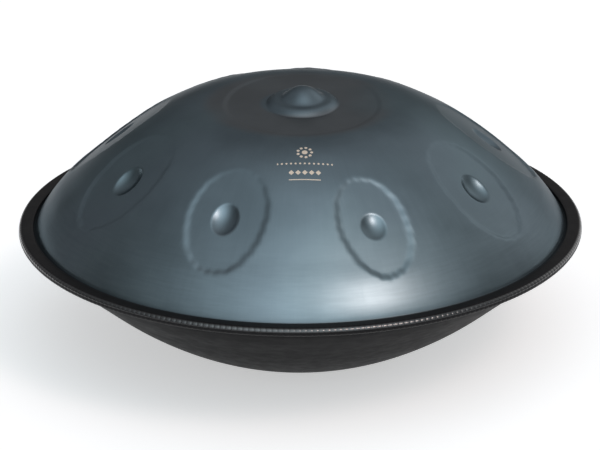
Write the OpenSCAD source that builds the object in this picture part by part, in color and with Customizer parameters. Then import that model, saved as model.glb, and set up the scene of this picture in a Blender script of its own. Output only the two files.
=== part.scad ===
// Handpan: two deep-drawn steel shells glued flange to flange, with a
// rubber edge trim pressed over the glued rim.  The upper shell carries a
// raised centre note and nine hammered tone fields around it; the lower
// shell has the port in its middle.
// Millimetres, +Z up.  Origin: centre of the flat ring the drum rests on.
// The smallest, highest notes face -Y (the player's side).

/* [Shells] */
// Sheet thickness of both steel shells
steel_t = 1.2; // [1.0:0.1:1.4]
// Height of the glued rim mid-plane above the ring it rests on
rim_z = 121.5;
// Outer radius of the steel flanges
flange_r = 266.3; // [264:0.1:266.5]
// Thickness of the adhesive film between the two flanges
glue_t = 0.6; // [0.4:0.1:0.8]
// Number of straight bands used for each dome profile
dome_bands = 26; // [16:1:32]

/* [Centre note] */
// Sideways shift of the centre note from the drum axis
ding_x = 3; // [0:0.5:5]
// Half width of the oval centre tone field, left to right
ding_field_rx = 75; // [70:1:78]
// Half length of the oval centre tone field, front to back
ding_field_ry = 86; // [76:0.5:88]
// Depth of the centre tone field below the crown of the dome
ding_field_drop = 1.0; // [0.6:0.1:1.4]
// Half width of the raised boss, left to right
boss_rx = 34.8; // [32:0.2:37]
// Ratio of boss length to boss width
boss_oval = 1.18; // [1.0:0.01:1.2]
// Height of the boss above its tone field
boss_h = 16.2; // [12:0.1:18]

/* [Tone fields] */
// Depth of each side tone field below the dome, at its middle
field_drop = 3.0; // [2.8:0.1:3.4]
// Radius of curvature of the flattened tone fields
field_r = 700; // [600:10:800]
// Radius of curvature of the dimple in each tone field
dimple_r = 26; // [24:0.5:32]

/* [Port] */
// Radius of the port in the lower shell
port_r = 50; // [46:0.5:52]
// Straight length of the port neck
neck_len = 18.5; // [12:0.5:24]
// Outside bend radius between the resting ring and the neck
port_bend = 8; // [6:0.5:8]

/* [Edge trim] */
// Outer radius of the rubber trim
trim_r = 270; // [269.6:0.1:272]
// Inner edge radius of the rubber trim
trim_inner_r = 255.7; // [255.5:0.1:257]
// Half height of the rubber trim
trim_h = 4.1; // [4.0:0.1:4.6]
// Radius of the rounded nose of the rubber trim
trim_corner = 4.0; // [3.0:0.1:4.0]
// Open gap where the two ends of the trim meet
trim_gap = 0.6; // [0.3:0.1:1.5]
// Direction of that joint, degrees from +X
trim_joint = 90; // [0:5:355]
// Number of slots that let the steel core of the trim bend
core_slots = 96; // [48:12:144]

/* [Hidden] */
$fn = 120;
half_glue = glue_t / 2;
flange_face = half_glue + steel_t;

// Upper outer surface: [radius, height above the rim mid-plane]
TOP = [[0, 122.6], [40, 122.4], [80, 121.2], [100, 119.3], [110, 117.2],
       [150, 99.4], [185, 75.2], [215, 49], [238, 25.3], [249, 10], [252.3, 4]];
// Lower outer surface: [radius, depth below the rim mid-plane]
BOT = [[252.3, 4], [250.2, 8], [246.5, 13], [238, 21.9], [215, 42], [185, 66.5],
       [150, 89.6], [110, 109.4], [95, 115.2], [80, 119.6], [73, 121.2], [71, 121.5]];

// Side tone fields, small to large: centre radius, direction, half length
// along the slope, half width around the drum, twist, dimple half length,
// dimple half width, dimple shift around the drum, depth as a share of
// field_drop
FIELDS = [
  [193.3, -69.6, 52.8, 32.8, 2.3, 13.8, 11.6, 0, 0.87],
  [187, -111.2, 56.3, 37.6, 2.5, 16.8, 12.8, -1.5, 0.87],
  [189.6, -29.8, 59, 40.2, -6, 16.8, 14.2, 0, 1],
  [182.5, -153.8, 60, 44, 5, 17.6, 15, 3, 1],
  [184, 8.7, 61, 45, 0, 17.6, 15, 0, 1.15],
  [184, 163.5, 61, 48, 0, 17.8, 15.2, 0, 1.3],
  [182, 47.4, 64, 51, 0, 18.2, 15.6, 0, 1.15],
  [180, 124.8, 66, 54, 0, 18.6, 16, 0, 1.1],
  [180, 86.1, 68, 55, 0, 19, 16.4, 0, 1.1]];

// Boss height against distance from its middle, both as fractions
BOSS = [[0, 1], [0.12, 0.972], [0.22, 0.905], [0.31, 0.805], [0.39, 0.69], [0.46, 0.575],
        [0.52, 0.475], [0.57, 0.402], [0.61, 0.360], [0.66, 0.336], [0.74, 0.318],
        [0.80, 0.29], [0.86, 0.225], [0.92, 0.13], [0.965, 0.045], [1.0, 0]];

// ---- smooth curve through a short list of points ----
function sec(P, i) = (P[i+1][1] - P[i][1]) / (P[i+1][0] - P[i][0]);
function slope_at(P, i) =
  i == 0 ? 0 :
  i == len(P) - 1 ? sec(P, i - 1) * 1.1 :
  let (h0 = P[i][0] - P[i-1][0], h1 = P[i+1][0] - P[i][0])
    (sec(P, i - 1) * h1 + sec(P, i) * h0) / (h0 + h1);
function find(P, x, i = 0) = i >= len(P) - 2 || x <= P[i+1][0] ? i : find(P, x, i + 1);
function curve(P, x) =
  let (i = find(P, x), h = P[i+1][0] - P[i][0], t = (x - P[i][0]) / h,
       m0 = slope_at(P, i) * h, m1 = slope_at(P, i + 1) * h)
    (2*t*t*t - 3*t*t + 1) * P[i][1] + (t*t*t - 2*t*t + t) * m0
    + (3*t*t - 2*t*t*t) * P[i+1][1] + (t*t*t - t*t) * m1;
function top_z(r) = curve(TOP, r);
function top_tilt(r) = atan((top_z(r - 1) - top_z(r + 1)) / 2);

function smooth(a, b, x) = let (t = min(1, max(0, (x - a) / (b - a)))) t * t * (3 - 2 * t);

// ---- foot of the dome and flange, [radius, height above the rim mid-plane] ----
foot_outer = [[252.5, 3.3], [253.1, 2.3], [253.9, 1.7], [255.0, flange_face]];
foot_inner = [[252.5 - steel_t, 3.3], [252.5 - steel_t + 0.5, 1.9], [252.5 - steel_t + 1.6, 0.8],
              [255.0, half_glue]];
function nrm(P, i) =
  let (a = P[max(i - 1, 0)], b = P[min(i + 1, len(P) - 1)], d = b - a, l = norm(d))
    [-d[1] / l, d[0] / l];
function inset(P, t) = [for (i = [0 : len(P) - 1])
  let (q = P[i] - t * nrm(P, i)) [max(q[0], 0), q[1]]];

bot_outer = [for (i = [0 : len(BOT) - 1]) BOT[len(BOT) - 1 - i]];

// ---- upper skin as a height pressed into the dome ----
// the centre note is an oval: its rings share one ratio out to its border
oval_mean = sqrt(boss_oval);
boss_s = boss_rx * oval_mean;
ding_s = (ding_field_rx + ding_field_ry) / 2;
function oval_share(s) = 1 - smooth(86, 116, s);
function plan(s, a) = let (k = pow(oval_mean, oval_share(s)))
  [ding_x * oval_share(s) + s / k * cos(a), s * k * sin(a)];
function turn(a) = a > 180 ? turn(a - 360) : a < -180 ? turn(a + 360) : a;

// how far field f, at its own tilted plane, moves a point of the dome
function field_push(f, x, y) =
  let (al = top_tilt(f[0]), r = norm([x, y]), d = turn(atan2(y, x) - f[1]),
       dx = r * cos(d) - f[0], dz = top_z(r) - top_z(f[0]),
       u0 = dx * cos(al) - dz * sin(al), v0 = r * sin(d),
       w0 = dx * sin(al) + dz * cos(al),
       u = u0 * cos(f[4]) + v0 * sin(f[4]), v = v0 * cos(f[4]) - u0 * sin(f[4]),
       rho = norm([u / f[2], v / f[3]]),
       q = norm([u / f[5], (v - f[7]) / f[6]]),
       flat = -field_drop * f[8] - (u0 * u0 + v0 * v0) / (2 * field_r) - w0,
       m = (f[5] + f[6]) / 2,
       cup = q < 1 ? sqrt(dimple_r * dimple_r - m * m * q * q) - sqrt(dimple_r * dimple_r - m * m) : 0,
       push = flat * (1 - smooth(0.93, 1.06, rho)) - cup)
    push * [sin(al) * cos(f[1]), sin(al) * sin(f[1]), cos(al)];
function near(f, x, y) = norm([x, y]) > 100 && abs(turn(atan2(y, x) - f[1])) < 26;
function total(L, i = 0) = i >= len(L) ? [0, 0, 0] : L[i] + total(L, i + 1);

function skin(s, a) =
  let (p = plan(s, a), x = p[0], y = p[1], z = top_z(norm(p)),
       in = 1 - smooth(0.965, 1.035, s / ding_s),
       z1 = z + in * (top_z(0) - ding_field_drop - s * s / 5200 - z),
       z2 = z1 + (s < boss_s ? boss_h * curve(BOSS, s / boss_s) : 0))
    [x, y, z2] + total([for (f = FIELDS) if (near(f, x, y)) field_push(f, x, y)]);
function skin_normal(s, a) =
  let (e = 0.8, t = s < 30 ? 3 : 0.35,
       du = skin(s + e, a) - skin(max(s - e, 0.05), a), dv = skin(s, a + t) - skin(s, a - t),
       n = cross(du, dv))
    n / norm(n);

// directions of the mesh lines: dense over the dimples and field borders
function by_angle(L) = len(L) < 2 ? L :
  let (m = L[floor(len(L) / 2)])
    concat(by_angle([for (x = L) if (x < m) x]), [m], by_angle([for (x = L) if (x > m) x]));
function rank(i) = len([for (f = FIELDS) if (f[1] < FIELDS[i][1]) 1]);
ordered = [for (k = [0 : len(FIELDS) - 1]) for (i = [0 : len(FIELDS) - 1]) if (rank(i) == k) FIELDS[i]];
function half_deg(f, w) = asin(w / f[0]);
function lines_of(k) =
  let (f = ordered[k], g = ordered[(k + 1) % len(ordered)],
       gap = (g[1] - f[1] + 720) % 360,
       lo = f[1] + half_deg(f, f[3]) * 1.08, hi = f[1] + gap - half_deg(g, g[3]) * 1.08,
       c = f[1] + f[7] / f[0] * 57.3, dd = half_deg(f, f[6]), bb = half_deg(f, f[3]))
    [f[1] - 1.08 * bb, f[1] - 0.92 * bb, c - 1.1 * dd, c - 0.85 * dd, c - 0.45 * dd, c,
     c + 0.45 * dd, c + 0.85 * dd, c + 1.1 * dd, f[1] + 0.92 * bb, f[1] + 1.08 * bb, (lo + hi) / 2];
lines = [for (k = [0 : len(ordered) - 1]) each lines_of(k)];
n_lines = len(lines);

// rings: over the centre note by fraction, over the side fields by their own span
boss_rings = [0.24, 0.42, 0.56, 0.65, 0.81, 0.92, 1.01];
nb = len(boss_rings);
field_rings = [-1.07, -0.93, -0.6, -0.32, -0.25, -0.12, 0, 0.12, 0.25, 0.32, 0.6, 0.93, 1.07];
function mix(a, b, t) = a + (b - a) * (1 - cos(180 * t)) / 2;
function span_at(a) =
  let (L = ordered, n = len(L),
       hit = [for (k = [0 : n - 1]) let (gap = (L[(k + 1) % n][1] - L[k][1] + 720) % 360,
         d = (a - L[k][1] + 720) % 360) if (d < gap || k == n - 1) [k, d / gap]],
       k = hit[0][0], t = min(1, hit[0][1]), f = L[k], g = L[(k + 1) % n],
       cf = f[2] * cos(top_tilt(f[0])), cg = g[2] * cos(top_tilt(g[0])))
    [mix(f[0], g[0], t), mix(cf, cg, t)];
n_rings = len(boss_rings) + 3 + len(field_rings) + 1;
function ring_s(i, a) =
  i < nb ? boss_rings[i] * boss_s :
  i == nb ? ding_s * 0.96 :
  i == nb + 1 ? ding_s * 1.04 :
  i == nb + 2 ? 104 :
  i == n_rings - 1 ? 252.3 :
  let (c = span_at(a), r = c[0] + c[1] * field_rings[i - nb - 3]) min(r, 247);

module upper_skin() {
  n = n_lines;
  outer = [for (i = [0 : n_rings - 1], j = [0 : n - 1]) skin(ring_s(i, lines[j]), lines[j])];
  inner = [for (i = [0 : n_rings - 1], j = [0 : n - 1])
    i == n_rings - 1 ? [252.3 - steel_t, 0, 4.1] * [[cos(lines[j]), sin(lines[j]), 0], [0, 0, 0], [0, 0, 1]]
    : skin(ring_s(i, lines[j]), lines[j]) - steel_t * skin_normal(ring_s(i, lines[j]), lines[j])];
  foot_o = [for (i = [1 : 3], j = [0 : n - 1])
    [foot_outer[i][0] * cos(lines[j]), foot_outer[i][0] * sin(lines[j]), foot_outer[i][1]]];
  foot_i = [for (i = [1 : 3], j = [0 : n - 1])
    [foot_inner[i][0] * cos(lines[j]), foot_inner[i][0] * sin(lines[j]), foot_inner[i][1]]];
  edge_o = [for (j = [0 : n - 1]) [flange_r * cos(lines[j]), flange_r * sin(lines[j]), flange_face]];
  edge_i = [for (j = [0 : n - 1]) [flange_r * cos(lines[j]), flange_r * sin(lines[j]), half_glue]];
  top = skin(0, 0);
  rows = n_rings + 4;
  pts = concat([top, top - [0, 0, steel_t]], outer, foot_o, edge_o, inner, foot_i, edge_i);
  function o(i, j) = 2 + i * n + j % n;
  function q(i, j) = 2 + (rows + i) * n + j % n;
  polyhedron(points = pts, faces = concat(
    [for (j = [0 : n - 1]) [0, o(0, j + 1), o(0, j)]],
    [for (i = [0 : rows - 2], j = [0 : n - 1]) [o(i, j), o(i, j + 1), o(i + 1, j + 1)]],
    [for (i = [0 : rows - 2], j = [0 : n - 1]) [o(i, j), o(i + 1, j + 1), o(i + 1, j)]],
    [for (j = [0 : n - 1]) [o(rows - 1, j), o(rows - 1, j + 1), q(rows - 1, j + 1)]],
    [for (j = [0 : n - 1]) [o(rows - 1, j), q(rows - 1, j + 1), q(rows - 1, j)]],
    [for (i = [0 : rows - 2], j = [0 : n - 1]) [q(i, j + 1), q(i, j), q(i + 1, j + 1)]],
    [for (i = [0 : rows - 2], j = [0 : n - 1]) [q(i + 1, j + 1), q(i, j), q(i + 1, j)]],
    [for (j = [0 : n - 1]) [1, q(0, j), q(0, j + 1)]]));
}

// Upper shell: dome, nine dimpled tone fields, centre note and flange
module top_shell() {
  color([0.33, 0.40, 0.44]) translate([0, 0, rim_z]) upper_skin();
}

// Lower shell: bowl, flat resting ring, port neck turned inward and flange
module bottom_shell() {
  inner = inset(bowl_pts(), steel_t);
  color([0.06, 0.061, 0.064])
  translate([0, 0, rim_z]) rotate_extrude() polygon(concat(
    [[flange_r, -half_glue], [flange_r, -flange_face]],
    [for (i = [0 : len(foot_outer) - 1]) [foot_outer[3 - i][0], -foot_outer[3 - i][1]]],
    bowl_pts(), bend_pts(port_bend), neck_pts(),
    [for (i = [0 : 8]) bend_pts(port_bend - steel_t)[8 - i]],
    [[71 - 0.1, -121.5 + steel_t]],
    [for (i = [len(inner) - 1 : -1 : 0]) inner[i]],
    [for (i = [0 : len(foot_inner) - 1]) [foot_inner[i][0], -foot_inner[i][1]]]));
}
function bowl_r(k) = 252.3 - (252.3 - 71) * (1 - cos(90 * k / dome_bands));
function bowl_pts() = [for (k = [0 : dome_bands])
  let (r = bowl_r(k)) [r, -curve(bot_outer, r)]];
function bend_pts(r) = [for (i = [0 : 8]) let (a = 270 - 90 * i / 8)
  [port_r + port_bend + r * cos(a), -121.5 + port_bend + r * sin(a)]];
function neck_pts() = [[port_r, -121.5 + port_bend + neck_len],
  [port_r + steel_t, -121.5 + port_bend + neck_len]];

// Adhesive film that joins the two flanges
module flange_adhesive() {
  color([0.75, 0.70, 0.55])
  translate([0, 0, rim_z - half_glue]) difference() {
    cylinder(h = glue_t, r = flange_r - 0.4);
    translate([0, 0, -1]) cylinder(h = glue_t + 2, r = 255.2);
  }
}

// ring with a flat U section, open toward the drum axis
module u_ring(r_in, r_out, half, wall, web) {
  rotate_extrude() polygon([[r_in, half], [r_out, half], [r_out, -half], [r_in, -half],
    [r_in, wall - half], [r_out - web, wall - half], [r_out - web, half - wall], [r_in, half - wall]]);
}

core_half = flange_face + 1.75;

// Rubber edge trim: U section with rounded nose and gripping lips
module rim_trim() {
  g = flange_face + 0.05;
  s = flange_face + 0.35;
  c = trim_corner;
  color([0.05, 0.05, 0.055])
  translate([0, 0, rim_z]) difference() {
    rotate_extrude() polygon(concat(
      [[trim_inner_r, g + 0.5], [trim_inner_r, trim_h - 0.9], [trim_inner_r + 0.3, trim_h - 0.3],
       [trim_inner_r + 0.9, trim_h]],
      [for (i = [0 : 8]) let (a = 90 - 11.25 * i) [trim_r - c + c * cos(a), trim_h - c + c * sin(a)]],
      [for (i = [trim_h > c ? 0 : 1 : 8]) let (a = -11.25 * i) [trim_r - c + c * cos(a), -trim_h + c + c * sin(a)]],
      [[trim_inner_r + 0.9, -trim_h], [trim_inner_r + 0.3, -trim_h + 0.3],
       [trim_inner_r, -trim_h + 0.9], [trim_inner_r, -g - 0.5]],
      [[trim_inner_r + 0.5, -g], [trim_inner_r + 1.6, -g], [trim_inner_r + 2.4, -s],
       [trim_inner_r + 4.6, -s], [trim_inner_r + 5.2, -g], [trim_inner_r + 6.0, -s],
       [flange_r + 0.2, -s], [flange_r + 0.2, s],
       [trim_inner_r + 6.0, s], [trim_inner_r + 5.2, g], [trim_inner_r + 4.6, s],
       [trim_inner_r + 2.4, s], [trim_inner_r + 1.6, g], [trim_inner_r + 0.5, g]]));
    u_ring(257.2, 267.6, core_half, 0.8, 0.8);
    rotate([0, 0, trim_joint]) translate([260, -trim_gap / 2, -8]) cube([20, trim_gap, 16]);
    rotate([0, 0, trim_joint]) translate([250, -trim_gap / 2, -8]) cube([20, trim_gap, 16]);
  }
}

// Slotted steel core buried in the rubber trim
module rim_trim_core() {
  color([0.6, 0.6, 0.62])
  translate([0, 0, rim_z]) difference() {
    u_ring(257.2, 267.6, core_half, 0.8, 0.8);
    for (i = [0 : core_slots - 1]) rotate([0, 0, trim_joint + 360 * i / core_slots]) {
      translate([250, -0.75, core_half - 3]) cube([16.5, 1.5, 6]);
      translate([250, -0.75, -core_half - 3]) cube([16.5, 1.5, 6]);
    }
    rotate([0, 0, trim_joint]) translate([250, -trim_gap / 2, -8]) cube([30, trim_gap, 16]);
  }
}

top_shell();
bottom_shell();
flange_adhesive();
rim_trim();
rim_trim_core();
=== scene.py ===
import math

import bpy
import numpy as np
from mathutils import Matrix, Vector


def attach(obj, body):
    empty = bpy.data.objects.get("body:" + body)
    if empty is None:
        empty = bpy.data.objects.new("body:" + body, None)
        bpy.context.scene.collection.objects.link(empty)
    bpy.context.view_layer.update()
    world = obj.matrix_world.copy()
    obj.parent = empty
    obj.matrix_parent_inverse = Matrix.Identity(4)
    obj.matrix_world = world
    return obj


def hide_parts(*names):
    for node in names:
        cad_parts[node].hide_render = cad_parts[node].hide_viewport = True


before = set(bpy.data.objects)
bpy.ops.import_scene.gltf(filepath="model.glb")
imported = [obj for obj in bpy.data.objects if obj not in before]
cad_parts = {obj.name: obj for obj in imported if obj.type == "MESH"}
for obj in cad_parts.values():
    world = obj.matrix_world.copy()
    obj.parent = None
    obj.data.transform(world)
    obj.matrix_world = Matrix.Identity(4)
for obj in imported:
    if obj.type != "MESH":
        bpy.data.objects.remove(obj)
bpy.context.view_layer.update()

MM = 0.001
RIM_Z = 121.5
STEEL = 1.2
HALF_GLUE = 0.3
FLANGE_FACE = HALF_GLUE + STEEL
FLANGE_R = 266.3

# ------------------------------------------------------------------ shapes
TOP = [(0, 122.6), (40, 122.4), (80, 121.2), (100, 119.3), (110, 117.2), (150, 99.4),
       (185, 75.2), (215, 49), (238, 25.3), (249, 10), (252.3, 4)]
BOT = [(71, 121.5), (73, 121.2), (80, 119.6), (95, 115.2), (110, 109.4), (150, 89.6),
       (185, 66.5), (215, 42), (238, 21.9), (246.5, 13), (250.2, 8), (252.3, 4)]
BOSS = [(0, 1), (0.12, 0.972), (0.22, 0.905), (0.31, 0.805), (0.39, 0.69), (0.46, 0.575),
        (0.52, 0.475), (0.57, 0.402), (0.61, 0.360), (0.66, 0.336), (0.74, 0.318),
        (0.80, 0.29), (0.86, 0.225), (0.92, 0.13), (0.965, 0.045), (1.0, 0)]
# centre radius, direction, half length down the slope, half width, twist,
# dimple half length, dimple half width, dimple shift, depth as a share of FIELD_DROP
FIELDS = [
    (193.3, -69.6, 52.8, 32.8, 2.3, 13.8, 11.6, 0, 0.87),
    (187, -111.2, 56.3, 37.6, 2.5, 16.8, 12.8, -1.5, 0.87),
    (189.6, -29.8, 59, 40.2, -6, 16.8, 14.2, 0, 1),
    (182.5, -153.8, 60, 44, 5, 17.6, 15, 3, 1),
    (184, 8.7, 61, 45, 0, 17.6, 15, 0, 1.15),
    (184, 163.5, 61, 48, 0, 17.8, 15.2, 0, 1.3),
    (182, 47.4, 64, 51, 0, 18.2, 15.6, 0, 1.15),
    (180, 124.8, 66, 54, 0, 18.6, 16, 0, 1.1),
    (180, 86.1, 68, 55, 0, 19, 16.4, 0, 1.1)]
FIELD_DROP, FIELD_R, DIMPLE_R = 3.0, 700.0, 26.0
DING_X, DING_RX, DING_RY, DING_DROP = 3.0, 75.0, 86.0, 1.0
BOSS_RX, BOSS_OVAL, BOSS_H = 34.8, 1.18, 16.2
OVAL_MEAN = math.sqrt(BOSS_OVAL)
BOSS_S = BOSS_RX * OVAL_MEAN
DING_S = (DING_RX + DING_RY) / 2


def curve(points, x, flat_start=True):
    """Smooth curve through a short list of points."""
    p = np.array(points, float)
    h = np.diff(p[:, 0])
    s = np.diff(p[:, 1]) / h
    m = np.zeros(len(p))
    m[1:-1] = (s[:-1] * h[1:] + s[1:] * h[:-1]) / (h[:-1] + h[1:])
    m[0] = 0 if flat_start else s[0]
    m[-1] = s[-1] * 1.1
    x = np.asarray(x, float)
    i = np.clip(np.searchsorted(p[:, 0], x, side="left") - 1, 0, len(p) - 2)
    t = (x - p[i, 0]) / h[i]
    m0, m1 = m[i] * h[i], m[i + 1] * h[i]
    t2, t3 = t * t, t * t * t
    return ((2 * t3 - 3 * t2 + 1) * p[i, 1] + (t3 - 2 * t2 + t) * m0
            + (3 * t2 - 2 * t3) * p[i + 1, 1] + (t3 - t2) * m1)


def top_z(r):
    return curve(TOP, r)


def smooth(a, b, x):
    t = np.clip((x - a) / (b - a), 0, 1)
    return t * t * (3 - 2 * t)


def oval_share(s):
    return 1 - smooth(86, 116, s)


def plan(s, a):
    share = oval_share(s)
    k = OVAL_MEAN ** share
    return DING_X * share + s / k * np.cos(a), s * k * np.sin(a)


def skin(s, a):
    """Outer face of the upper shell, at rim height zero, in millimetres."""
    x, y = plan(s, a)
    r = np.hypot(x, y)
    z0 = top_z(r)
    phi = np.arctan2((y) / OVAL_MEAN, (x - DING_X) * OVAL_MEAN)
    edge = s / DING_S * (1 + 0.006 * np.sin(5 * phi + 1.0) + 0.004 * np.sin(9 * phi))
    inside = 1 - smooth(0.945, 1.035, edge)
    z = z0 + inside * (122.6 - DING_DROP - s * s / 5200 - z0)
    z = z + np.where(s < BOSS_S, BOSS_H * curve(BOSS, np.clip(s / BOSS_S, 0, 1)), 0)
    P = np.stack([x, y, z], -1)
    th = np.degrees(np.arctan2(y, x))
    for n, (rc, deg, la, lb, twist, dl, dw, shift, deep) in enumerate(FIELDS):
        d = (th - deg + 180) % 360 - 180
        near = (np.abs(d) < 27) & (r > 100)
        if not near.any():
            continue
        rr, dd = r[near], np.radians(d[near])
        al = math.atan(float(top_z(rc - 1) - top_z(rc + 1)) / 2)
        tw = math.radians(twist)
        dx, dz = rr * np.cos(dd) - rc, z0[near] - float(top_z(rc))
        u0 = dx * math.cos(al) - dz * math.sin(al)
        v0 = rr * np.sin(dd)
        w0 = dx * math.sin(al) + dz * math.cos(al)
        u = u0 * math.cos(tw) + v0 * math.sin(tw)
        v = v0 * math.cos(tw) - u0 * math.sin(tw)
        psi = np.arctan2(v / lb, u / la)
        rho = np.hypot(u / la, v / lb)
        # hammered outline: a slightly many-sided oval
        rho = rho * (1 + 0.006 * np.sin(9 * psi + n) + 0.006 * np.sin(5 * psi + 1.7 * n)
                     + 0.009 * np.sin(23 * psi + 2.3 * n + 1.5 * np.sin(4 * psi + n)))
        flat = -FIELD_DROP * deep - (u0 * u0 + v0 * v0) / (2 * FIELD_R) - w0
        # the border of the side fields is struck a little crisper than the front pair's
        lo, hi = (0.92, 1.055) if n < 2 else (0.94, 1.04)
        push = flat * (1 - smooth(lo, hi, rho))
        q = np.hypot(u / dl, (v - shift) / dw)
        a = (dl + dw) / 2
        cap = np.sqrt(DIMPLE_R ** 2 - (a * np.minimum(q, 1)) ** 2) - math.sqrt(DIMPLE_R ** 2 - a * a)
        push = push - cap
        nv = (math.sin(al) * math.cos(math.radians(deg)), math.sin(al) * math.sin(math.radians(deg)), math.cos(al))
        P[near] += push[:, None] * np.array(nv)
    return P


def mesh_object(name, verts, faces, mat, smooth_shade=True):
    me = bpy.data.meshes.new(name)
    verts = np.asarray(verts, np.float64)
    tri = [np.asarray(f, np.int32) for f in faces]
    loops = np.concatenate([f.reshape(-1) for f in tri])
    sizes = np.concatenate([np.full(len(f), f.shape[1], np.int32) for f in tri])
    starts = np.concatenate([[0], np.cumsum(sizes)[:-1]]).astype(np.int32)
    me.vertices.add(len(verts))
    me.vertices.foreach_set("co", verts.astype(np.float32).reshape(-1))
    me.loops.add(len(loops))
    me.loops.foreach_set("vertex_index", loops.astype(np.int32))
    me.polygons.add(len(sizes))
    me.polygons.foreach_set("loop_start", starts)
    me.polygons.foreach_set("use_smooth", np.full(len(sizes), smooth_shade))
    me.update(calc_edges=True)
    me.validate()
    o = bpy.data.objects.new(name, me)
    bpy.context.scene.collection.objects.link(o)
    me.materials.append(mat)
    return o


def grid_faces(rows, cols, start=0, flip=False):
    """Quads over rows closed round in cols."""
    i, j = np.meshgrid(np.arange(rows - 1), np.arange(cols), indexing="ij")
    a = start + i * cols + j
    b = start + i * cols + (j + 1) % cols
    c = start + (i + 1) * cols + (j + 1) % cols
    d = start + (i + 1) * cols + j
    q = np.stack([a, d, c, b] if not flip else [a, b, c, d], -1).reshape(-1, 4)
    return q


# ------------------------------------------------------------------ nodes
def nodes_of(mat):
    mat.use_nodes = True
    nt = mat.node_tree
    nt.nodes.clear()
    out = nt.nodes.new("ShaderNodeOutputMaterial")
    bsdf = nt.nodes.new("ShaderNodeBsdfPrincipled")
    nt.links.new(bsdf.outputs[0], out.inputs[0])
    return nt, bsdf


class N:
    """Short spelling for node trees."""

    def __init__(self, nt):
        self.nt = nt

    def new(self, kind, **sets):
        n = self.nt.nodes.new(kind)
        for k, v in sets.items():
            setattr(n, k, v)
        return n

    def put(self, socket, value):
        if isinstance(value, bpy.types.NodeSocket):
            self.nt.links.new(value, socket)
        elif value is not None:
            socket.default_value = value

    def math(self, op, a, b=None, c=None, clamp=False):
        n = self.new("ShaderNodeMath", operation=op, use_clamp=clamp)
        self.put(n.inputs[0], a)
        self.put(n.inputs[1], b)
        if c is not None:
            self.put(n.inputs[2], c)
        return n.outputs[0]

    def vmath(self, op, a, b=None):
        n = self.new("ShaderNodeVectorMath", operation=op)
        self.put(n.inputs[0], a)
        self.put(n.inputs[1], b)
        return n.outputs["Value"] if op in ("DOT_PRODUCT", "LENGTH") else n.outputs[0]

    def range(self, v, a, b, c=0.0, d=1.0, kind="SMOOTHSTEP"):
        n = self.new("ShaderNodeMapRange", interpolation_type=kind)
        for i, x in enumerate((v, a, b, c, d)):
            self.put(n.inputs[i], x)
        return n.outputs[0]

    def noise(self, vec, scale, detail=3.0, rough=0.5, out=0, distortion=0.0):
        n = self.new("ShaderNodeTexNoise")
        self.put(n.inputs["Vector"], vec)
        n.inputs["Scale"].default_value = scale
        n.inputs["Detail"].default_value = detail
        n.inputs["Roughness"].default_value = rough
        n.inputs["Distortion"].default_value = distortion
        return n.outputs[out]

    def mix(self, f, a, b, blend="MIX"):
        n = self.new("ShaderNodeMix", data_type="RGBA", blend_type=blend)
        self.put(n.inputs[0], f)
        self.put(n.inputs[6], a)
        self.put(n.inputs[7], b)
        return n.outputs[2]

    def bump(self, height, strength, distance, normal=None):
        n = self.new("ShaderNodeBump")
        n.inputs["Strength"].default_value = strength
        n.inputs["Distance"].default_value = distance
        self.put(n.inputs["Height"], height)
        if normal is not None:
            self.put(n.inputs["Normal"], normal)
        return n.outputs[0]

    def combine(self, x, y, z):
        n = self.new("ShaderNodeCombineXYZ")
        for i, v in enumerate((x, y, z)):
            self.put(n.inputs[i], v)
        return n.outputs[0]


def rgb(r, g, b, a=1.0):
    return (r, g, b, a)


def polar(n):
    """Object coordinates of the frame as (position, radius, direction)."""
    co = n.new("ShaderNodeTexCoord").outputs["Object"]
    sep = n.new("ShaderNodeSeparateXYZ")
    n.put(sep.inputs[0], co)
    x, y, z = sep.outputs
    flat = n.combine(x, y, 0.0)
    r = n.vmath("LENGTH", flat)
    ang = n.math("ARCTAN2", y, x)
    return co, x, y, z, r, ang


# -------------------------------------------------------------- materials
def dimple_centres():
    out = []
    for rc, deg, la, lb, twist, dl, dw, shift, deep in FIELDS:
        a = math.radians(deg) + shift / rc
        al = math.atan(float(top_z(rc - 1) - top_z(rc + 1)) / 2)
        r = rc - (FIELD_DROP * deep + 2.5) * math.sin(al)
        z = float(top_z(rc)) - (FIELD_DROP * deep + 2.5) * math.cos(al) + RIM_Z
        out.append(((r * math.cos(a) * MM, r * math.sin(a) * MM, z * MM), (dl + dw) / 2 * MM))
    return out


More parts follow.
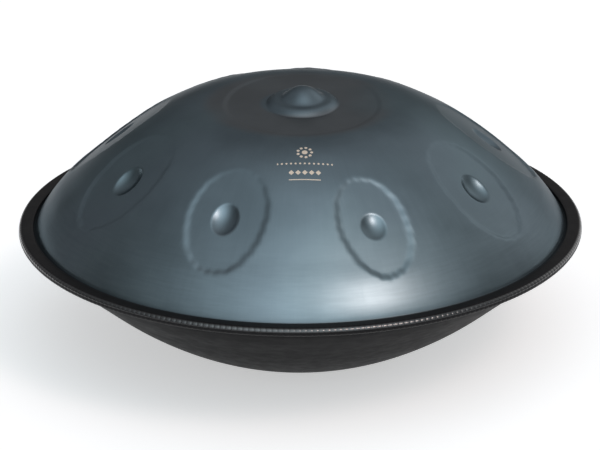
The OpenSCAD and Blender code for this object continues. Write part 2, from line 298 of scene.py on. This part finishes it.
def top_material():
    mat = bpy.data.materials.new("nitrided_steel_top")
    nt, bsdf = nodes_of(mat)
    n = N(nt)
    co, x, y, z, r, ang = polar(n)
    # heat tint: slow drift between slate, teal and a plainer grey near the crown
    slow = n.noise(co, 5.5, 2.0, 0.5)
    mid = n.noise(co, 16.0, 3.0, 0.55)
    crown = n.math("SUBTRACT", 1.0, n.math("MULTIPLY", n.range(r, 0.034, 0.040), n.range(r, 0.082, 0.096, 1.0, 0.0)))
    warm = rgb(0.221, 0.244, 0.260)
    slate = rgb(0.200, 0.256, 0.291)
    teal = rgb(0.204, 0.268, 0.298)
    base = n.mix(crown, warm, slate)
    base = n.mix(n.range(slow, 0.40, 0.62), base, teal)
    # lighter and bluer towards the foot of the wall
    lower = n.range(r, 0.17, 0.25)
    base = n.mix(n.math("MULTIPLY", lower, 0.15), base, rgb(0.29, 0.325, 0.35))
    patch = n.range(mid, 0.30, 0.72, 0.93, 1.06)
    base = n.mix(1.0, base, n.combine(patch, patch, patch), "MULTIPLY")
    # fine rub marks: down the slope, and round the drum low on the wall
    rub = n.noise(n.combine(n.math("MULTIPLY", ang, 26.0), n.math("MULTIPLY", r, 9.0), n.math("MULTIPLY", z, 4.0)), 3.0, 5.0, 0.62)
    band = n.noise(n.combine(n.math("MULTIPLY", ang, 3.2), n.math("MULTIPLY", r, 150.0), n.math("MULTIPLY", z, 110.0)), 2.6, 5.0, 0.6)
    rub_v = n.range(rub, 0.32, 0.68, 0.985, 1.015)
    band_v = n.range(band, 0.30, 0.72, -0.045, 0.045)
    tone = n.math("MULTIPLY_ADD", band_v, n.range(r, 0.19, 0.245, 0.12, 1.0), rub_v)
    base = n.mix(1.0, base, n.combine(tone, tone, tone), "MULTIPLY")
    # painted shade: the foot of the wall and the strip of flange beside the trim are darkened to near black, standing
    # in for the shadow in the crevice by the trim
    foot = n.range(r, 0.2523, 0.2533)
    base = n.mix(n.math("MULTIPLY", foot, 0.88), base, rgb(0.012, 0.012, 0.013))
    mark = ornament(n, x, y)
    base = n.mix(mark, base, rgb(0.78, 0.66, 0.54))
    n.put(bsdf.inputs["Base Color"], base)
    n.put(bsdf.inputs["Metallic"], n.math("SUBTRACT", 1.0, n.math("MULTIPLY", mark, 0.75)))
    bsdf.inputs["Specular Tint"].default_value = (0.42, 0.42, 0.42, 1)
    grain = n.noise(co, 420.0, 4.0, 0.6)
    rough = n.math("ADD", n.range(rub, 0.3, 0.7, 0.335, 0.36), n.range(mid, 0.3, 0.7, -0.015, 0.02))
    rough = n.math("ADD", rough, n.math("MULTIPLY", mark, 0.15))
    rough = n.math("ADD", rough, n.math("MULTIPLY", foot, 0.25))
    # the dimples are pressed with a polished punch
    near = None
    for c, size in dimple_centres():
        d = n.math("DIVIDE", n.vmath("LENGTH", n.vmath("SUBTRACT", co, c)), size)
        near = d if near is None else n.math("MINIMUM", near, d)
    punch = n.range(near, 0.85, 1.15, 1.0, 0.0)
    rough = n.math("SUBTRACT", rough, n.math("MULTIPLY", punch, 0.02))
    n.put(bsdf.inputs["Roughness"], rough)
    h1 = n.bump(rub, 0.05, 0.0001)
    h2 = n.bump(band, 0.06, 0.0001, h1)
    h3 = n.bump(grain, 0.06, 0.0001, h2)
    n.put(bsdf.inputs["Normal"], h3)
    return mat


def ornament(n, x, y):
    """Plain printed ornament on the player's side: a ring of dots, a row of dots, lozenges, a thin rule."""
    cx = 0.0045
    dx = n.math("SUBTRACT", x, cx)
    dy = n.math("SUBTRACT", y, -0.1165)
    rr = n.math("SQRT", n.math("ADD", n.math("MULTIPLY", dx, dx), n.math("MULTIPLY", dy, dy)))
    a = n.math("ARCTAN2", dy, dx)
    k = n.math("MULTIPLY", a, 9.0 / (2 * math.pi))
    fr = n.math("SUBTRACT", k, n.math("ROUND", k))
    along = n.math("MULTIPLY", fr, 2 * math.pi / 9.0 * 0.0064)
    out = n.math("SUBTRACT", rr, 0.0064)
    d = n.math("SQRT", n.math("ADD", n.math("MULTIPLY", along, along), n.math("MULTIPLY", out, out)))
    total = n.math("MAXIMUM", n.range(d, 0.00125, 0.00155, 1.0, 0.0), n.range(rr, 0.0025, 0.0028, 1.0, 0.0))
    ax = n.math("ABSOLUTE", dx)
    # row: distance down the front, half length, pitch, half height, diamond or dot
    for yy, half, pitch, hh, lozenge in ((-0.1305, 0.0255, 0.0042, 0.00085, False),
                                         (-0.1405, 0.0150, 0.0062, 0.00245, True)):
        q = n.math("MULTIPLY", dx, 1 / pitch)
        f = n.math("MULTIPLY", n.math("SUBTRACT", q, n.math("ROUND", q)), pitch)
        v = n.math("SUBTRACT", y, yy)
        if lozenge:
            d = n.math("ADD", n.math("ABSOLUTE", f), n.math("ABSOLUTE", v))
        else:
            d = n.math("SQRT", n.math("ADD", n.math("MULTIPLY", f, f), n.math("MULTIPLY", v, v)))
        row = n.math("MULTIPLY", n.range(d, hh, hh + 0.0003, 1.0, 0.0), n.range(ax, half, half + 0.0002, 1.0, 0.0))
        total = n.math("MAXIMUM", total, row)
    v = n.math("ABSOLUTE", n.math("SUBTRACT", y, -0.1480))
    rule = n.math("MULTIPLY", n.range(v, 0.00035, 0.00060, 1.0, 0.0), n.range(ax, 0.0145, 0.0147, 1.0, 0.0))
    total = n.math("MAXIMUM", total, rule)
    return total


def bottom_material():
    mat = bpy.data.materials.new("nitrided_steel_bottom")
    nt, bsdf = nodes_of(mat)
    n = N(nt)
    co, x, y, z, r, ang = polar(n)
    slow = n.noise(co, 6.0, 3.0, 0.5)
    rub = n.noise(n.combine(n.math("MULTIPLY", ang, 8.0), n.math("MULTIPLY", r, 60.0), n.math("MULTIPLY", z, 60.0)), 2.0, 5.0, 0.6)
    v = n.math("MULTIPLY", n.range(slow, 0.3, 0.7, 0.9, 1.12), n.range(rub, 0.3, 0.7, 0.94, 1.06))
    base = n.mix(1.0, rgb(0.0075, 0.0076, 0.0081), n.combine(v, v, v), "MULTIPLY")
    n.put(bsdf.inputs["Base Color"], base)
    bsdf.inputs["Specular IOR Level"].default_value = 0.035
    n.put(bsdf.inputs["Roughness"], n.range(rub, 0.3, 0.7, 0.44, 0.54))
    grain = n.noise(co, 380.0, 4.0, 0.6)
    n.put(bsdf.inputs["Normal"], n.bump(grain, 0.08, 0.00025, n.bump(rub, 0.04, 0.0005)))
    return mat


def trim_material():
    mat = bpy.data.materials.new("trim_rubber")
    nt, bsdf = nodes_of(mat)
    n = N(nt)
    co, x, y, z, r, ang = polar(n)
    mott = n.noise(co, 90.0, 4.0, 0.6)
    v = n.range(mott, 0.3, 0.7, 0.85, 1.2)
    n.put(bsdf.inputs["Base Color"], n.mix(1.0, rgb(0.0105, 0.0103, 0.0108), n.combine(v, v, v), "MULTIPLY"))
    n.put(bsdf.inputs["Roughness"], n.range(mott, 0.3, 0.7, 0.34, 0.46))
    bsdf.inputs["Specular IOR Level"].default_value = 0.06
    # the rounded nose is polished by handling on its upper side
    n.put(bsdf.inputs["Coat Weight"], n.math("MULTIPLY", n.range(z, 0.1218, 0.1230), n.range(r, 0.2668, 0.2686)))
    bsdf.inputs["Coat IOR"].default_value = 2.0
    bsdf.inputs["Coat Roughness"].default_value = 0.17
    grain = n.noise(co, 900.0, 3.0, 0.6)
    n.put(bsdf.inputs["Normal"], n.bump(grain, 0.10, 0.0002))
    return mat


def plain_metal(name, colour, rough, scale):
    mat = bpy.data.materials.new(name)
    nt, bsdf = nodes_of(mat)
    n = N(nt)
    co = n.new("ShaderNodeTexCoord").outputs["Object"]
    t = n.noise(co, scale, 4.0, 0.6)
    v = n.range(t, 0.3, 0.7, 0.85, 1.1)
    n.put(bsdf.inputs["Base Color"], n.mix(1.0, rgb(*colour), n.combine(v, v, v), "MULTIPLY"))
    bsdf.inputs["Metallic"].default_value = 1.0
    n.put(bsdf.inputs["Roughness"], n.range(t, 0.3, 0.7, rough - 0.05, rough + 0.08))
    n.put(bsdf.inputs["Normal"], n.bump(t, 0.1, 0.0002))
    return mat


def adhesive_material():
    mat = bpy.data.materials.new("cured_adhesive")
    nt, bsdf = nodes_of(mat)
    n = N(nt)
    co = n.new("ShaderNodeTexCoord").outputs["Object"]
    t = n.noise(co, 150.0, 4.0, 0.6)
    v = n.range(t, 0.3, 0.7, 0.8, 1.15)
    n.put(bsdf.inputs["Base Color"], n.mix(1.0, rgb(0.52, 0.46, 0.33), n.combine(v, v, v), "MULTIPLY"))
    n.put(bsdf.inputs["Roughness"], n.range(t, 0.3, 0.7, 0.55, 0.7))
    n.put(bsdf.inputs["Normal"], n.bump(t, 0.2, 0.0003))
    return mat


# ------------------------------------------------------------- upper shell
def line_angles(count):
    """Directions of the mesh lines: closer together over the dimples."""
    grid = np.linspace(0, 2 * math.pi, 7200, endpoint=False)
    deg = np.degrees(grid)
    dens = np.full_like(grid, 1.0)
    for rc, a, la, lb, tw, dl, dw, sh, deep in FIELDS:
        d = (deg - a - math.degrees(sh / rc) + 180) % 360 - 180
        half = math.degrees(dw / rc)
        dens += 1.1 * (1 - smooth(half * 1.15, half * 1.7, np.abs(d)))
    c = np.concatenate([[0], np.cumsum(dens)])
    c = c / c[-1] * count
    return np.interp(np.arange(count), c, np.linspace(0, 2 * math.pi, 7201))


def ring_radii():
    parts = [np.arange(1.1, 39.9, 1.15), np.arange(40, 75, 2.4), np.arange(75.2, 84.6, 0.85),
             np.arange(85.5, 128, 2.3), np.arange(129, 163, 1.45), np.arange(164, 205, 1.05),
             np.arange(206, 240, 1.35), np.arange(241, 252, 1.6)]
    return np.concatenate(parts)


def build_top(mat):
    fine = line_angles(600)
    half = fine[::2]
    s = ring_radii()
    split = int(np.searchsorted(s, 70.0))
    s_in, s_out = s[:split], s[split:]
    A = skin(*np.meshgrid(s_in, half, indexing="ij"))
    B = skin(*np.meshgrid(s_out, fine, indexing="ij"))
    # foot of the wall and flange, turned profile
    foot = [(252.42, 3.6), (252.62, 3.0), (253.0, 2.4), (253.5, 1.95), (254.2, 1.62), (255.2, FLANGE_FACE),
            (259.0, FLANGE_FACE), (FLANGE_R, FLANGE_FACE)]
    C = np.stack([np.stack([r * np.cos(fine), r * np.sin(fine), np.full_like(fine, z)], -1) for r, z in foot])
    under = [(FLANGE_R, HALF_GLUE), (259.0, HALF_GLUE), (255.0, HALF_GLUE), (252.9, 0.75), (251.8, 1.9), (251.3, 3.3)]
    coarse = fine[::3]
    D = np.stack([np.stack([r * np.cos(coarse), r * np.sin(coarse), np.full_like(coarse, z)], -1) for r, z in under])
    # inner face: the outer face moved in along its normal
    s_i = np.concatenate([np.arange(247, 206, -3.4), np.arange(205, 163, -2.1), np.arange(161, 128, -3.2),
                          np.arange(125, 86, -5.5), np.arange(84.5, 75, -1.6), np.arange(72, 42, -6.0),
                          np.arange(40, 2.5, -1.9)])
    S, T = np.meshgrid(s_i, coarse, indexing="ij")
    e = 0.4
    P = skin(S, T)
    du = skin(S + e, T) - skin(S - e, T)
    dt = np.where(S < 60, 0.03, 0.004)
    dv = skin(S, T + dt) - skin(S, T - dt)
    nr = np.cross(du, dv)
    nr /= np.linalg.norm(nr, axis=-1, keepdims=True)
    E = P - STEEL * nr
    verts, faces = [], []
    cen = skin(np.array([0.0]), np.array([0.0]))[0]
    verts.append(cen[None])  # 0
    verts.append((cen - [0, 0, STEEL])[None])  # 1
    a0 = 2
    verts.append(A.reshape(-1, 3))
    nh, nf, nc = len(half), len(fine), len(coarse)
    b0 = a0 + A.shape[0] * nh
    outer = np.concatenate([B, C])
    verts.append(outer.reshape(-1, 3))
    c0 = b0 + outer.shape[0] * nf
    inner = np.concatenate([D, E])
    verts.append(inner.reshape(-1, 3))
    j = np.arange(nh)
    faces.append(np.stack([np.zeros(nh, int), a0 + j, a0 + (j + 1) % nh], -1))
    faces.append(grid_faces(A.shape[0], nh, a0))
    last = a0 + (A.shape[0] - 1) * nh
    # one ring of half as many lines meets a ring of full lines
    f0, f1, f2 = b0 + 2 * j, b0 + 2 * j + 1, b0 + (2 * j + 2) % nf
    g0, g1 = last + j, last + (j + 1) % nh
    faces.append(np.stack([g0, f0, f1], -1))
    faces.append(np.stack([g0, f1, g1], -1))
    faces.append(np.stack([g1, f1, f2], -1))
    faces.append(grid_faces(outer.shape[0], nf, b0))
    k = np.arange(nc)
    rim = b0 + (outer.shape[0] - 1) * nf
    o0, o1, o2, o3 = rim + 3 * k, rim + 3 * k + 1, rim + 3 * k + 2, rim + (3 * k + 3) % nf
    h0, h1 = c0 + k, c0 + (k + 1) % nc
    faces.append(np.stack([o0, h0, o1], -1))
    faces.append(np.stack([o1, h0, h1, o2], -1))
    faces.append(np.stack([o2, h1, o3], -1))
    faces.append(grid_faces(inner.shape[0], nc, c0))
    end = c0 + (inner.shape[0] - 1) * nc
    faces.append(np.stack([np.ones(nc, int), end + (k + 1) % nc, end + k], -1))
    v = np.concatenate(verts)
    v[:, 2] += RIM_Z
    return mesh_object("upper_shell", v * MM, faces, mat)


def revolve(name, profile, count, mat, start=0.0, sweep=2 * math.pi, wobble=None):
    """Closed profile (radius, height) turned about Z."""
    p = np.array(profile, float)
    a = start + np.linspace(0, sweep, count, endpoint=False)
    R, Z = p[:, 0][:, None], p[:, 1][:, None]
    if wobble is not None:
        dr, dz = wobble(R, Z, a[None, :])
        R, Z = R + dr, Z + dz
    else:
        R, Z = R + 0 * a[None, :], Z + 0 * a[None, :]
    P = np.stack([R * np.cos(a), R * np.sin(a), Z], -1)
    rows = len(p)
    i, j = np.meshgrid(np.arange(rows), np.arange(count), indexing="ij")
    q = np.stack([i * count + j, i * count + (j + 1) % count,
                  ((i + 1) % rows) * count + (j + 1) % count, ((i + 1) % rows) * count + j], -1).reshape(-1, 4)
    return P.reshape(-1, 3), q


def build_bottom(mat):
    k = np.linspace(0, 1, 60)
    r = 252.3 - (252.3 - 71) * (1 - np.cos(np.pi / 2 * k))
    z = -curve(BOT, r)
    bowl = np.stack([r, z], -1)
    d = np.gradient(bowl, axis=0)
    nrm = np.stack([-d[:, 1], d[:, 0]], -1)
    nrm /= np.linalg.norm(nrm, axis=1, keepdims=True)
    inner = bowl - STEEL * nrm
    t = np.radians(np.linspace(270, 180, 12))
    port_r, bend, neck = 50.0, 8.0, 18.5
    c = np.array([port_r + bend, -121.5 + bend])
    b_out = c + bend * np.stack([np.cos(t), np.sin(t)], -1)
    b_in = c + (bend - STEEL) * np.stack([np.cos(t), np.sin(t)], -1)
    top = -121.5 + bend + neck
    foot = [(FLANGE_R, -HALF_GLUE), (FLANGE_R, -FLANGE_FACE), (255.2, -FLANGE_FACE), (254.2, -1.62), (253.5, -1.95), (253.0, -2.4),
            (252.62, -3.0), (252.42, -3.6)]
    foot_i = [(251.3, -3.3), (251.8, -1.9), (252.9, -0.75), (255.0, -HALF_GLUE)]
    lip = [(50.0, top - 0.35), (50.25, top - 0.06), (50.6, top), (50.95, top - 0.06), (51.2, top - 0.35)]
    prof = (foot + [tuple(p) for p in bowl[:-1]] + [(71.0, -121.5), (68.0, -121.5), (63.0, -121.5)] + [tuple(p) for p in b_out]
            + [(50.0, -108.0), (50.0, -101.0)] + lip + [(51.2, -101.0), (51.2, -108.0)]
            + [tuple(p) for p in b_in[::-1]] + [(63.0, -121.5 + STEEL), (68.0, -121.5 + STEEL)]
            + [tuple(p) for p in inner[::-1][1:-1]] + foot_i)
    P, q = revolve("lower_shell", prof, 360, mat)
    P[:, 2] += RIM_Z
    return mesh_object("lower_shell", P * MM, [q[:, ::-1]], mat)


# ------------------------------------------------------------------- trim
RIBS = 320


def trim_profile():
    ir, orad, h, c = 255.7, 270.0, 4.1, 4.0
    g, s = FLANGE_FACE + 0.05, FLANGE_FACE + 0.35
    up = [(ir, g + 0.5), (ir, h - 0.9), (ir + 0.12, h - 0.5), (ir + 0.4, h - 0.18), (ir + 0.9, h),
          (ir + 3, h), (ir + 6, h), (orad - c - 1.0, h)]
    t = np.radians(np.linspace(90, -90, 25))
    nose = []
    for a in t:
        zc = (h - c) if a >= 0 else -(h - c)
        nose.append((orad - c + c * math.cos(a), zc + c * math.sin(a)))
    down = [(r, -z) for r, z in up[::-1]]
    slot = [(ir + 0.5, -g), (ir + 1.6, -g), (ir + 2.4, -s), (ir + 4.6, -s), (ir + 5.2, -g), (ir + 6.0, -s),
            (FLANGE_R + 0.2, -s), (FLANGE_R + 0.2, s),
            (ir + 6.0, s), (ir + 5.2, g), (ir + 4.6, s), (ir + 2.4, s), (ir + 1.6, g), (ir + 0.5, g)]
    return up + nose + down + slot


def build_trim(mat):
    per = 8
    count = RIBS * per
    gap = 0.6 / 270
    prof = np.array(trim_profile())
    a = math.pi / 2 + gap / 2 + np.linspace(0, 2 * math.pi - gap, count + 1)
    R, Z = prof[:, 0][:, None], prof[:, 1][:, None]
    # cross ribs over the nose: the rubber sinks a little between the core's teeth
    ph = (a * RIBS / (2 * math.pi)) % 1.0
    groove = np.exp(-((np.minimum(ph, 1 - ph)) / 0.15) ** 2)
    share = smooth(264.5, 268.5, R)
    depth = 0.26 * groove[None, :] * share
    cr, cz = 266.0, np.clip(Z, -0.1, 0.1)
    nr, nz = R - cr, Z - cz
    ln = np.maximum(np.hypot(nr, nz), 1e-6)
    outer = (R > 262.0) & ((np.abs(Z) > 2.0) | (R > 267.0))
    R2 = R - np.where(outer, depth * nr / ln, 0)
    Z2 = Z - np.where(outer, depth * nz / ln, 0)
    P = np.stack([R2 * np.cos(a), R2 * np.sin(a), Z2], -1)
    rows, cols = len(prof), count + 1
    i, j = np.meshgrid(np.arange(rows), np.arange(count), indexing="ij")
    nx = (i + 1) % rows
    q = np.stack([i * cols + j, nx * cols + j, nx * cols + j + 1, i * cols + j + 1], -1).reshape(-1, 4)
    verts = P.reshape(-1, 3)
    verts[:, 2] += RIM_Z
    ends = [np.array([[r * cols for r in range(rows)]]), np.array([[r * cols + count for r in range(rows)][::-1]])]
    return verts, q, ends


def make_trim(mat):
    verts, q, ends = build_trim(mat)
    o = mesh_object("edge_trim", verts * MM, [q, ends[0][:, ::-1], ends[1][:, ::-1]], mat)
    return o


# --------------------------------------------------------------- assemble
m_top, m_bot, m_trim = top_material(), bottom_material(), trim_material()
upper = build_top(m_top)
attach(upper, "root")
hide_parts("top_shell")
lower = build_bottom(m_bot)
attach(lower, "root")
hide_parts("bottom_shell")
trim = make_trim(m_trim)
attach(trim, "root")
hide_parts("rim_trim")

for node, mat in (("flange_adhesive", adhesive_material()),
                  ("rim_trim_core", plain_metal("trim_core_steel", (0.55, 0.55, 0.57, 1.0), 0.35, 200.0))):
    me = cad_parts[node].data
    me.materials.clear()
    me.materials.append(mat)

# ------------------------------------------------------------------ stage
bpy.ops.mesh.primitive_plane_add(size=30, location=(0, 0, -0.0001))
floor = bpy.context.object
floor.name = "floor"
fm = bpy.data.materials.new("pale_floor")
fnt, fb = nodes_of(fm)
fn = N(fnt)
fco = fn.new("ShaderNodeTexCoord").outputs["Object"]
ft = fn.noise(fco, 3.0, 2.0, 0.5)
fn.put(fb.inputs["Base Color"], fn.mix(fn.range(ft, 0.3, 0.7, 0.0, 1.0), rgb(0.86, 0.86, 0.86), rgb(0.88, 0.88, 0.88)))
fb.inputs["Roughness"].default_value = 0.9
fb.inputs["Emission Color"].default_value = (1, 1, 1, 1)
fb.inputs["Emission Strength"].default_value = 0.50
fb.inputs["Specular IOR Level"].default_value = 0.1
floor.data.materials.append(fm)


def direction(az, el):
    """Unit vector: az 0 is toward the camera's side (-Y), 90 toward +X."""
    a, e = math.radians(az), math.radians(el)
    return (math.sin(a) * math.cos(e), -math.cos(a) * math.cos(e), math.sin(e))


def studio():
    w = bpy.data.worlds.new("studio")
    bpy.context.scene.world = w
    w.use_nodes = True
    nt = w.node_tree
    nt.nodes.clear()
    n = N(nt)
    out = n.new("ShaderNodeOutputWorld")
    bg = n.new("ShaderNodeBackground")
    nt.links.new(bg.outputs[0], out.inputs[0])
    d = n.new("ShaderNodeTexCoord").outputs["Generated"]
    total = None
    # direction, spread in degrees, colour
    lobes = [
        (direction(38, 47), 6.0, (9.6, 7.5, 6.9)),
        (direction(6, 46), 27.5, (1.33, 1.51, 1.60)),
        (direction(154, 68), 21.0, (0.26, 0.26, 0.27)),
        (direction(-136, 27), 19.0, (0.18, 0.18, 0.19)),
        (direction(138, 20), 16.0, (0.70, 0.70, 0.71)),
        (direction(180, 14), 12.0, (0.24, 0.23, 0.23)),
    ]
    for v, spread, c in lobes:
        dot = n.vmath("DOT_PRODUCT", d, v)
        k = 1 / math.radians(spread) ** 2
        f = n.math("EXPONENT", n.math("MULTIPLY_ADD", dot, k, -k))
        col = n.vmath("MULTIPLY", n.combine(f, f, f), c)
        total = col if total is None else n.vmath("ADD", total, col)
    total = n.vmath("ADD", total, (0.045, 0.043, 0.042))
    n.put(bg.inputs[0], total)
    bg.inputs[1].default_value = 1.0


studio()
bpy.context.scene.view_settings.view_transform = "Standard"

# ----------------------------------------------------------------- camera
cam_data = bpy.data.cameras.new("camera")
cam = bpy.data.objects.new("camera", cam_data)
bpy.context.scene.collection.objects.link(cam)
D, F_PX = 3.5, 3641.572
e, roll = math.radians(21.689), math.radians(-0.3731)
fwd = Vector((0, math.cos(e), -math.sin(e)))
right = Vector((1, 0, 0))
up = right.cross(fwd)
r2 = math.cos(roll) * right + math.sin(roll) * up
u2 = -math.sin(roll) * right + math.cos(roll) * up
pos = Vector((0, 0, RIM_Z * MM)) - fwd * D
cam.matrix_world = Matrix((
    (r2.x, u2.x, -fwd.x, pos.x), (r2.y, u2.y, -fwd.y, pos.y), (r2.z, u2.z, -fwd.z, pos.z), (0, 0, 0, 1)))
cam_data.sensor_width = 36.0
cam_data.lens = F_PX / 600 * 36.0
cam_data.shift_x = -0.261 / 600
cam_data.shift_y = -3.057 / 600
cam_data.clip_start, cam_data.clip_end = 0.05, 60
bpy.context.scene.camera = cam
